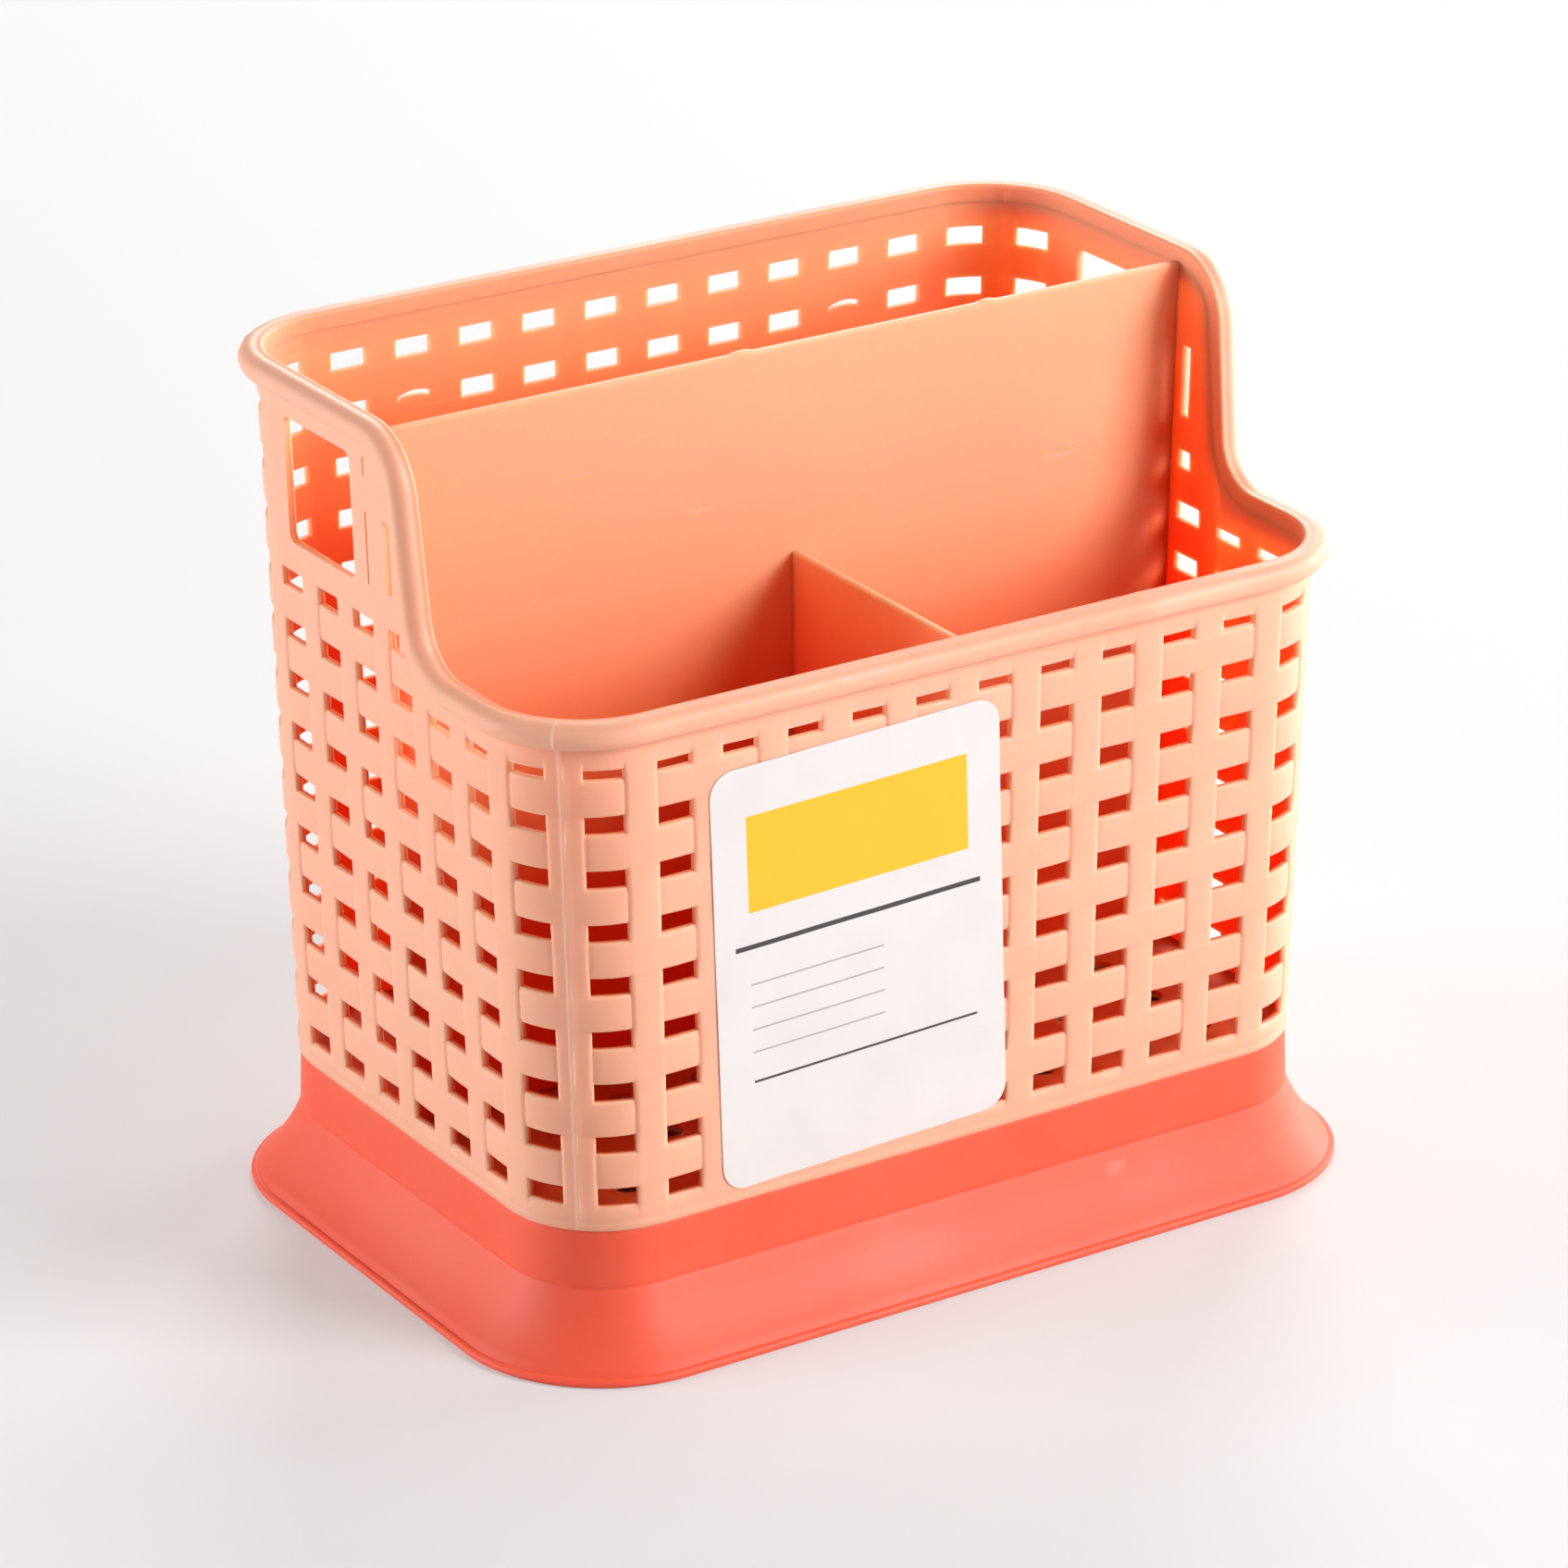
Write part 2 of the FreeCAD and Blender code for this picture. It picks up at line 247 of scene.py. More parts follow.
def depthBelow(coords, frontY, backY):
    # how far down a point lies from the low rim at the front and the high one at the back
    place = parts(coords)
    top = spread(place["Y"], frontY / mm, backY / mm, wall["lowRim"] / mm, highRim / mm)
    return valueMath("SUBTRACT", top, place["Z"])


def markMask(coords, scratches, middle, half, strength):
    # a soft patch of scratches at one place
    middle, half = (tuple(value / mm for value in values) for values in (middle, half))
    far = vectorMath("LENGTH", placed(coords, Location=middle, Scale=half))
    near = spread(far, surface["markCore"], 1, strength, 0)
    return valueMath("MULTIPLY", near, spread(scratches, *surface["scratchRange"]))


def mouldedPlastic(name, look):
    s = surface
    material, shader, coords = newMaterial(name)
    clouds = noiseNode(coords, *look["clouds"])
    body = blended(spread(clouds, *s["cloudRange"]), look["colour"], look["deeper"])
    reach = look["subsurfaceReach"]
    if "inside" in look:
        masks = wallMasks(coords, look)
        belowRim = depthBelow(coords, *look["stepFrom"])
        belowPanel = depthBelow(coords, *look["panelFrom"])
        # painted shade and glow: the inside of the wall is coloured a deeper orange, redder and darker the
        # further it lies below the rim
        depth = blended(masks["middle"], belowRim, belowPanel, "VALUE")
        deep, low = spread(depth, *look["deepShadeDepths"]), spread(depth, *look["lowDepths"])
        inside = blended(deep, look["inside"], look["deepInsideShade"])
        inside = blended(low, inside, look["lowInside"])
        # paler parting line, partly painted highlight
        body = blended(masks["parting"], body, look["flash"])
        body = blended(masks["inside"], body, inside)
        clear = valueMath("MAXIMUM", spread(belowRim, *look["rimDepths"]), masks["middle"])
        byRim = spread(masks["edge"], 0, 1, *look["rimReach"])
        elsewhere = spread(masks["edge"], 0, 1, reach, look["insideReach"])
        reach = blended(clear, byRim, elsewhere, "VALUE")
        lowInside = valueMath("MULTIPLY", masks["inside"], low)
        feed(shader, {"Specular IOR Level": spread(lowInside, 0, 1, *look["sheen"])})
    streakMask = spread(noiseNode(coords, *s["streaks"]), *s["streakRange"])
    patches = noiseNode(coords, *s["patches"])
    patchMask = spread(patches, *s["patchRange"], 0, s["scuffStrength"])
    body = blended(valueMath("MULTIPLY", streakMask, patchMask), body, look["scuffed"])
    scratches = noiseNode(coords, *s["scratches"])
    for middle, half, strength in look["marks"]:
        mark = markMask(coords, scratches, middle, half, strength)
        body = blended(mark, body, look["scuffed"])
    grain = noiseNode(coords, *look["grain"])
    feed(shader, {
        "Base Color": body,
        "Roughness": spread(clouds, *s["glossRange"], *look["roughness"]),
        "Normal": bumpFrom(grain, look["grainStrength"], s["grainDepth"]),
        "IOR": s["ior"],
        "Subsurface Weight": s["subsurface"],
        "Subsurface Radius": look["subsurfaceRadius"],
        "Subsurface Scale": reach,
    })
    return material


peachPlastic = mouldedPlastic("peachPlastic", peachLook)
coralPlastic = mouldedPlastic("coralPlastic", coralLook)
print("plastics ready")


def finishPiece(name, bm, node, material=peachPlastic, body="basket", sharpAngle=40):
    bmesh.ops.scale(bm, vec=(1 / mm, 1 / mm, 1 / mm), verts=bm.verts)
    mesh = bpy.data.meshes.new(name)
    bm.to_mesh(mesh)
    bm.free()
    mesh.materials.append(material)
    mesh.polygons.foreach_set("use_smooth", [True] * len(mesh.polygons))
    mesh.set_sharp_from_angle(angle=math.radians(sharpAngle))
    piece = bpy.data.objects.new(name, mesh)
    bpy.context.scene.collection.objects.link(piece)
    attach(piece, body)
    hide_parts(node)
    mesh.calc_loop_triangles()
    print(name, "has", len(mesh.loop_triangles), "triangles")


def cleanUp(bm, distance=0.002):
    bmesh.ops.remove_doubles(bm, verts=bm.verts, dist=distance)
    bmesh.ops.dissolve_degenerate(bm, edges=bm.edges, dist=distance)
    bmesh.ops.recalc_face_normals(bm, faces=bm.faces)


def secondLayer(bm, faces):
    # the faces are doubled into a solid, and the new layer's vertices are given back
    grown = bmesh.ops.extrude_face_region(bm, geom=faces, use_keep_orig=True)["geom"]
    return [item for item in grown if isinstance(item, bmesh.types.BMVert)]


def station(origin, out, rise):
    along = out.cross(rise)
    turn = Matrix((out, rise, along)).transposed().to_4x4()
    return Matrix.Translation(origin) @ turn


def sweep(bm, profile, stations, closedProfile):
    # the profile's (out, rise) points are carried from station to station, back to the first
    ring = [bm.verts.new(stations[0] @ Vector((out, rise, 0))) for out, rise in profile]
    pairs = list(zip(ring, ring[1:])) + ([(ring[-1], ring[0])] if closedProfile else [])
    edges = [bm.edges.new(pair) for pair in pairs]
    for last, here in zip(stations, stations[1:] + stations[:1]):
        grown = bmesh.ops.extrude_edge_only(bm, edges=edges)["geom"]
        moved = [item for item in grown if isinstance(item, bmesh.types.BMVert)]
        edges = [item for item in grown if isinstance(item, bmesh.types.BMEdge)]
        bmesh.ops.transform(bm, matrix=here @ last.inverted(), verts=moved)


def gridPlaces(bm, columns, rows):
    # a flat grid's vertices, each with its column and row
    bmesh.ops.create_grid(bm, x_segments=columns, y_segments=rows, size=1)
    return {v: (round((v.co.x + 1) / 2 * columns), round((v.co.y + 1) / 2 * rows)) for v in bm.verts}


# the corners of a rounded rectangle, clockwise from the back's right: signs and first direction
corners = ((1, 1, 90), (1, -1, 0), (-1, -1, -90), (-1, 1, -180))


def cornerSpots(corner, halfX, halfY, radius, z, turns):
    # the place and the direction outwards at each of the turns, in degrees, round one corner
    signX, signY, startAngle = corner
    centre = Vector((signX * (halfX - radius), signY * (halfY - radius), z))
    angles = [math.radians(startAngle - turn) for turn in turns]
    outs = [Vector((math.cos(angle), math.sin(angle), 0)) for angle in angles]
    return [(centre + out * radius, out) for out in outs]


def roundedRectangle(halfX, halfY, radius, z, cornerSteps):
    turns = [90 * step / cornerSteps for step in range(cornerSteps + 1)]
    stations = []
    for corner in corners:
        for spot, out in cornerSpots(corner, halfX, halfY, radius, z, turns):
            stations.append(station(spot, out, Vector((0, 0, 1))))
    return stations


def arcPoints(centre, radius, startAngle, endAngle, steps):
    points = []
    for step in range(steps + 1):
        angle = math.radians(startAngle + (endAngle - startAngle) * step / steps)
        points.append((centre[0] + radius * math.cos(angle), centre[1] + radius * math.sin(angle)))
    return points


def arcThrough(first, middle, last, steps):
    # points on the arc through three points, in the profile's plane
    ax, ay, bx, by, cx, cy = *first, *middle, *last
    double = 2 * (ax * (by - cy) + bx * (cy - ay) + cx * (ay - by))
    a2, b2, c2 = ax * ax + ay * ay, bx * bx + by * by, cx * cx + cy * cy
    ux = (a2 * (by - cy) + b2 * (cy - ay) + c2 * (ay - by)) / double
    uy = (a2 * (cx - bx) + b2 * (ax - cx) + c2 * (bx - ax)) / double
    start = math.atan2(ay - uy, ax - ux)
    end = math.atan2(cy - uy, cx - ux)
    turn = (end - start + math.pi) % (2 * math.pi) - math.pi
    radius = math.hypot(ax - ux, ay - uy)
    return arcPoints((ux, uy), radius, math.degrees(start), math.degrees(start + turn), steps)


tray = {
    "flare": 8.5,          # foot reach past the collar
    "corner": 16.3,        # collar's corner radius
    "wall": 1.4,
    "panFloor": 1.4,
    "creaseHeight": 12.4,
    "creaseReach": 0.35,
    "aboveCrease": ((-0.03, 0.9), (-0.02, 0.45), (-0.16, 0.1)),   # soft groove, from the crease
    "skirtSag": 0.8,
    "lipRadius": 0.7,
    "lipGroove": (-0.36, 0.05),   # thin line above the bead round the foot
    "lipFlat": 0.8,
    "lipArc": (112, -90),
    "topRound": 0.35,
    "collarTop": (0.01, 1.2),   # reach and drop of the collar's first point below its round
    "skirtSteps": 14,
    "underSteps": 10,
    "lipSteps": 12,
    "cornerSteps": 20,
}


def buildTray():
    t = tray
    lip, crease = t["lipRadius"], t["creaseHeight"]
    lipTop = Vector((t["flare"] - lip, 2 * lip))
    creasePoint = Vector((t["creaseReach"], crease))
    chord = lipTop - creasePoint
    square = Vector((-chord.y, chord.x)).normalized()
    sagPoint = (creasePoint + lipTop) / 2 - square * t["skirtSag"]
    skirt = arcThrough(creasePoint, sagPoint, lipTop, t["skirtSteps"])
    innerLip = Vector((t["flare"] - lip - t["lipFlat"], 0))
    innerCrease = Vector((t["creaseReach"] - t["wall"], crease - t["panFloor"]))
    under = arcThrough(innerLip, sagPoint - square * t["wall"], innerCrease, t["underSteps"])
    top = t["topRound"]
    collarReach, collarDrop = t["collarTop"]
    profile = [(-t["wall"], crease)]
    profile += arcPoints((top - t["wall"], seat - top), top, 180, 90, 3)
    profile += arcPoints((-top, seat - top), top, 90, 0, 4)
    profile.append((collarReach, seat - collarDrop))
    profile += [(t["creaseReach"] + out, crease + rise) for out, rise in t["aboveCrease"]]
    profile += skirt[1:-1]
    profile.append(lipTop + Vector(t["lipGroove"]))
    profile += arcPoints((t["flare"] - lip, lip), lip, *t["lipArc"], t["lipSteps"])
    profile += under
    profile.append((-t["wall"], crease - t["panFloor"]))
    bm = bmesh.new()
    halfX, halfY = footHalfLength - t["flare"], footHalfWidth - t["flare"]
    sweep(bm, profile, roundedRectangle(halfX, halfY, t["corner"], 0, t["cornerSteps"]), False)
    cleanUp(bm)
    bmesh.ops.holes_fill(bm, edges=[edge for edge in bm.edges if edge.is_boundary], sides=0)
    bmesh.ops.recalc_face_normals(bm, faces=bm.faces)
    finishPiece("drip_tray_shell", bm, "drip_tray", coralPlastic, "tray")


buildTray()


def halfLength(z):
    return wall["halfLength"] + wall["endLean"] * (z - seat)


def halfWidth(z):
    return wall["halfWidth"] + wall["faceLean"] * (z - seat)


def quarterRun(z):
    # from the middle of one face to the middle of the next, along the middle of the wall
    arc = (wall["corner"] - wall["thick"] / 2) * math.pi / 2
    return halfLength(z) + halfWidth(z) - 2 * wall["corner"] + arc


def onWall(run, z, depth):
    # run goes anticlockwise from the middle of the front, depth inwards from the outside
    corner = wall["corner"]
    side = round(run / quarterRun(z))
    along = run - side * quarterRun(z)
    across, out = (halfWidth(z), halfLength(z)) if side % 2 else (halfLength(z), halfWidth(z))
    flat = across - corner
    past = max(abs(along) - flat, 0) / (corner - wall["thick"] / 2)
    place = min(abs(along), flat) + (corner - depth) * math.sin(past)
    reach = out - corner + (corner - depth) * math.cos(past)
    point = Vector((math.copysign(place, along), -reach, z))
    return Matrix.Rotation(side * math.pi / 2, 3, "Z") @ point


def innerPoint(point):
    # the place on the inside of the wall that lies square behind a point of its outside
    corner = wall["corner"]
    flatX, flatY = halfLength(point.z) - corner, halfWidth(point.z) - corner
    past = Vector((max(abs(point.x) - flatX, 0), max(abs(point.y) - flatY, 0)))
    past = past.normalized() * (corner - wall["thick"])
    x, y = min(abs(point.x), flatX) + past.x, min(abs(point.y), flatY) + past.y
    return Vector((math.copysign(x, point.x), math.copysign(y, point.y), point.z))


def dropLine(z):
    middle = (highRim + wall["lowRim"]) / 2
    return wall["dropPlace"] + (z - middle) * math.tan(math.radians(wall["dropAngle"]))


def roundedCorner(corner, before, after, radius, steps):
    toBefore, toAfter = (before - corner).normalized(), (after - corner).normalized()
    half = toBefore.angle(toAfter) / 2
    centre = corner + (toBefore + toAfter).normalized() * radius / math.sin(half)
    first = corner + toBefore * radius / math.tan(half)
    last = corner + toAfter * radius / math.tan(half)
    middle = centre + (corner - centre).normalized() * radius
    return [Vector(point) for point in arcThrough(first, middle, last, steps)]


def stepPath(tuck):
    # the rim's (y, z) line on an end, from back to front, lowered by the tuck
    shift = tuck / math.cos(math.radians(wall["dropAngle"]))
    steps, farY = wall["pathSteps"], wall["pathReach"]
    top, low = highRim - tuck, wall["lowRim"] - tuck
    start, end = Vector((farY, top)), Vector((-farY, low))
    upper, lower = Vector((dropLine(top) + shift, top)), Vector((dropLine(low) + shift, low))
    path = [start] + roundedCorner(upper, start, lower, wall["shoulder"] - tuck, steps)
    return path + roundedCorner(lower, upper, end, wall["hollow"] + tuck, steps) + [end]


tuckedPath = stepPath(wall["rimTuck"])
openPath = stepPath(0)


def topAt(y):
    for first, second in zip(tuckedPath, tuckedPath[1:]):
        if second.x <= y <= first.x:
            share = (first.x - y) / max(first.x - second.x, 1e-9)
            return first.y + (second.y - first.y) * share
    return tuckedPath[0].y


def rimDistance(y, z):
    here = Vector((y, z))
    nearest = 1e9
    for first, second in zip(openPath, openPath[1:]):
        leg = second - first
        share = min(max((here - first).dot(leg) / leg.length_squared, 0), 1)
        nearest = min(nearest, (here - first - leg * share).length)
    return nearest


weave = {
    "frontPitch": 11.1,
    "endPitch": 10.81,
    "rowPitch": 8.577,
    "lowestRow": 27.56,
    "rows": 13,
    "frontRow": 8,               # highest row ahead of the step
    "stepColumn": 3,             # columns of an end, from the front
    "slitColumn": 4,
    "windowColumns": (5, 6),
    "windowRow": 10,             # first row beside the window
    "stepTopRow": 11,            # highest row of the column beside the step
    "slitOffset": -2.4,          # the slit beside the window ends here
    "columns": (12, 8, 12, 8),   # front, right, back, left
    "openingHalf": (3.0, 1.5),
    "fanHeight": 61.98,
    "frontTop": 96.4,            # top edge of the highest openings ahead of the step
    "dropMargin": 9.1,
    "step": 0.2,                 # how far a band dives under an upright strip
    "groove": 0.08,              # line round the end of the band
    "levelShare": 0.1,           # share of the way that it stays level
    "stripDip": 0.04,            # upright strips hardly dip under the bands
    "cornerDip": 0.14,           # those at the corners dip more
    "edgeDrop": 0.17,
    "edgeRound": 0.7,
    "bandFall": (0.15, 1.5),     # edge fall of a band over a strip, on the faces and corners
    "tongue": (0.1, 0.9, 0.3),   # extra dip at the corners of a band's end, and their reach
    "cornerFall": 0.08,
    "plainRim": 7.0,             # the border below the rim has no relief
    "plainWindow": (3.4, 5.0, 4.6),   # nor has the one in front of, behind and below the window
    "plainFade": (0.8, 0.5),     # relief fades in over this, by the rim and the window
    "window": ((6.8, 26.9), (111.13, 131.38)),
    "windowCorner": (1.5, 5),    # radius and steps
    "windowSearch": (0.02, 4),   # how near and how far along its edges a corner looks
    "hangerColumns": (2, 9),
    "hangerRow": 11,
    "hangerSlit": (0.9, 0.7),    # height and arch
    "partingLine": 0.12,
    "partingWaver": (0.35, 0.9, 0.37),   # share, and the two turns for each mm
    "columnLines": (-3, -2.75, -2.2, -1.2, 0, 1.2, 2.2, 2.75, 3),
    "besideWindowLines": (-3, -2.75, -2.4, -1.6, 0, 1.395, 2.2, 2.75, 3),
    "behindWindowLines": (-3, -2.75, -2.2, -1.2, -0.125, 1.2, 2.2, 2.75, 3),
    "rowLines": (-1.5, 0.9, 1.5),
    "sharpAngle": 75,
    "stripLines": ((0, 0.2), (0, 0.7), (1, -0.7), (1, -0.2)),
    "cornerLines": (
        (0, 0.2), (0, 0.7), (0.28, 0), (0.5, -0.16), (0.5, 0), (0.5, 0.16), (0.72, 0), (1, -0.7), (1, -0.2),
    ),
    "footLines": (0, 0.25, 1.25, 1.5, 1.75, 3.2),
    "footDips": {0: 0.22, 0.25: 0.02, 1.5: 0.1},   # rounded foot and the line above it
}
zones = [(side, place) for side in range(4) for place in range(weave["columns"][side])]


def endColumn(zone):
    # number of an end column from the front, or None on the front and back
    side, place = zones[zone % len(zones)]
    if side % 2 == 0:
        return None
    return place if side == 1 else weave["columns"][side] - 1 - place


def zoneCentre(zone, z):
    turns, index = divmod(zone, len(zones))
    side, place = zones[index]
    offset = place - (weave["columns"][side] - 1) / 2
    if side % 2:
        offset *= weave["endPitch"]
    else:
        offset *= weave["frontPitch"] * halfLength(z) / halfLength(weave["fanHeight"])
    return (4 * turns + side) * quarterRun(z) + offset


def rowMiddle(row):
    return weave["lowestRow"] + row * weave["rowPitch"]


def acrossLines():
    # (zone, in a strip or not, share or offset, shift) for each upright line of the mesh
    lines = []
    for zone, (side, place) in enumerate(zones):
        offsets = weave["columnLines"]
        if endColumn(zone) == weave["slitColumn"]:
            offsets = weave["besideWindowLines"]
        elif endColumn(zone) == weave["windowColumns"][1]:
            offsets = weave["behindWindowLines"]
        if side == 3:
            offsets = [-offset for offset in reversed(offsets)]
        lines += [(zone, False, offset, 0) for offset in offsets]
        strip = weave["cornerLines"] if atCorner(zone) else weave["stripLines"]
        lines += [(zone, True, share, shift) for share, shift in strip]
    return lines


def upLines():
    # (row, kind, height, share across the opening or distance to the strip's edge)
    lines = [(-1, "band", seat + rise, 0) for rise in weave["footLines"]]
    halfHeight = weave["openingHalf"][1]
    stripHeight = weave["rowPitch"] - 2 * halfHeight
    for row in range(weave["rows"]):
        middle = rowMiddle(row)
        for offset in weave["rowLines"]:
            lines.append((row, "opening", middle + offset, (offset + halfHeight) / (2 * halfHeight)))
        for share, shift in weave["stripLines"]:
            rise = stripHeight * share + shift
            height = middle + halfHeight + rise
            if height < highRim - wall["rimTuck"]:
                kind = "strip" if row < weave["rows"] - 1 else "band"
                lines.append((row, kind, height, min(rise, stripHeight - rise)))
    lines.append((weave["rows"], "band", highRim - wall["rimTuck"], 0))
    return lines


def dive(share):
    level = weave["levelShare"]
    return weave["step"] * (max(share - level, 0) / (1 - level)) ** 2


def edgeFall(distance):
    left = max(1 - distance / weave["edgeRound"], 0)
    return weave["edgeDrop"] * left ** 3


def atCorner(zone):
    side, place = zones[zone % len(zones)]
    return place == weave["columns"][side] - 1


def reliefDepth(across, up):
    zone, inStrip, offset, shift = across
    row, kind, height, measure = up
    half = weave["openingHalf"][0]
    if kind == "band":
        return 0.0
    if inStrip:
        gap = {0: shift, 1: -shift}.get(offset, half)
        bandOver = (zone + row) % 2 == 0
        if kind == "strip":
            if bandOver:
                return edgeFall(measure) * weave["bandFall"][atCorner(zone)]
            return edgeFall(gap)
        dip = weave["cornerDip"] if atCorner(zone) else weave["stripDip"]
        towards = measure if bandOver else 1 - measure
        return dip * towards ** 2 + edgeFall(gap)
    share = (offset + half) / (2 * half)
    if kind == "strip":
        towards = share if (zone - 1 + row) % 2 == 0 else 1 - share
        dip, alongFrom, edgeTo = weave["tongue"]
        tongue = dip if towards > alongFrom and measure < edgeTo else 0
        groove = weave["groove"] if towards == 1 else 0
        return dive(towards) + edgeFall(measure) + groove + tongue
    atSide, atEnd = abs(offset) == half, measure in (0, 1)
    if atSide and atEnd:
        return weave["edgeDrop"] + weave["cornerFall"]
    if atSide:
        return edgeFall(0)
    if atEnd:
        stripRow = row if measure == 1 else row - 1
        towards = share if (zone - 1 + stripRow) % 2 == 0 else 1 - share
        return dive(towards) + edgeFall(0)
    return 0.0


def plainness(y, z, onEnd):
    # 0 where the wall is plain, 1 where it is woven
    rimFade, windowFade = weave["plainFade"]
    fade = min(max((rimDistance(y, z) - weave["plainRim"]) / rimFade, 0), 1)
    if onEnd:
        (front, back), (low, high) = weave["window"]
        ahead, behind, below = weave["plainWindow"]
        inside = min(y - front + ahead, back + behind - y, z - low + below)
        fade *= min(max(-inside / windowFade, 0), 1)
    return fade


def dropLimits(zone, row):
    # what the step leaves of an opening in the column beside it, as offsets along the run
    half = weave["openingHalf"][0]
    low = -half
    if row > weave["frontRow"]:
        line = dropLine(rowMiddle(min(row, weave["windowRow"])))
        low = line + weave["dropMargin"] + weave["endPitch"] / 2
    return (low, half) if zones[zone][0] == 1 else (-half, -low)


def runAt(line, upLine, z):
    zone, inStrip, offset, shift = line
    row, kind = upLine[:2]
    half = weave["openingHalf"][0]
    if inStrip:
        start = zoneCentre(zone, z) + half
        stop = zoneCentre(zone + 1, z) - half
        return start + (stop - start) * offset + shift
    low, high = -half, half
    if endColumn(zone) == weave["stepColumn"] and row >= 0:
        low, high = dropLimits(zone, row)
        if kind != "opening":
            lowAbove, highAbove = dropLimits(zone, row + 1)
            low, high = (low + lowAbove) / 2, (high + highAbove) / 2
    return zoneCentre(zone, z) + low + (offset + half) / (2 * half) * (high - low)


def aheadOfStep(zone):
    column = endColumn(zone)
    return zones[zone][0] == 0 or (column is not None and column < weave["stepColumn"])


def besideStep(zone):
    return endColumn(zone) in (weave["stepColumn"], weave["slitColumn"])


def isHanger(zone, row):
    # the back's two crescent slits
    side, place = zones[zone]
    return side == 2 and row == weave["hangerRow"] and place in weave["hangerColumns"]


def isOpen(zone, row, offset, rise):
    # whether the wall is open in the cell at this place of the zone and row
    side = zones[zone][0]
    column = endColumn(zone)
    if aheadOfStep(zone):
        return row <= weave["frontRow"]
    if isHanger(zone, row):
        return rise > weave["rowLines"][1]
    if column == weave["stepColumn"]:
        return row <= weave["stepTopRow"]
    if column == weave["slitColumn"] and row >= weave["windowRow"]:
        towardsFront = offset if side == 1 else -offset
        return towardsFront < weave["slitOffset"]
    if column in weave["windowColumns"]:
        return row < weave["windowRow"]
    return True


def roundWindows(bm):
    # a small curved web in each corner of the hand windows
    (front, back), (low, high) = weave["window"]
    radius, steps = weave["windowCorner"]

    def upToCurve(line):
        # an edge's vertices from the corner to the one nearest the curve's start
        line.sort(key=lambda item: item[0])
        end = min(range(len(line)), key=lambda index: abs(line[index][0] - radius))
        return [vert for along, vert in line[:end + 1]]

    near, far = weave["windowSearch"]
    edgeVerts = [vert for vert in bm.verts if vert.is_boundary and abs(vert.co.x) > wall["halfLength"]]
    for sign, (y, inY), (z, inZ) in product((-1, 1), ((front, 1), (back, -1)), ((low, 1), (high, -1))):
        sill, jamb = [], []
        for vert in edgeVerts:
            alongY, alongZ = (vert.co.y - y) * inY, (vert.co.z - z) * inZ
            if vert.co.x * sign < 0 or min(alongY, alongZ) < -near or max(alongY, alongZ) > far:
                continue
            if alongZ < near:
                sill.append((alongY, vert))
            elif alongY < near:
                jamb.append((alongZ, vert))
        sill, jamb = upToCurve(sill), upToCurve(jamb)
        sill[-1].co.y = y + inY * radius
        jamb[-1].co.z = z + inZ * radius
        jamb[-1].co.x = sign * halfLength(jamb[-1].co.z)
        web = sill[::-1] + jamb
        for step in range(1, steps):
            angle = math.radians(90 * step / steps)
            spotY = y + inY * radius * (1 - math.cos(angle))
            spotZ = z + inZ * radius * (1 - math.sin(angle))
            web.append(bm.verts.new((sign * halfLength(spotZ), spotY, spotZ)))
        bm.faces.new(web)


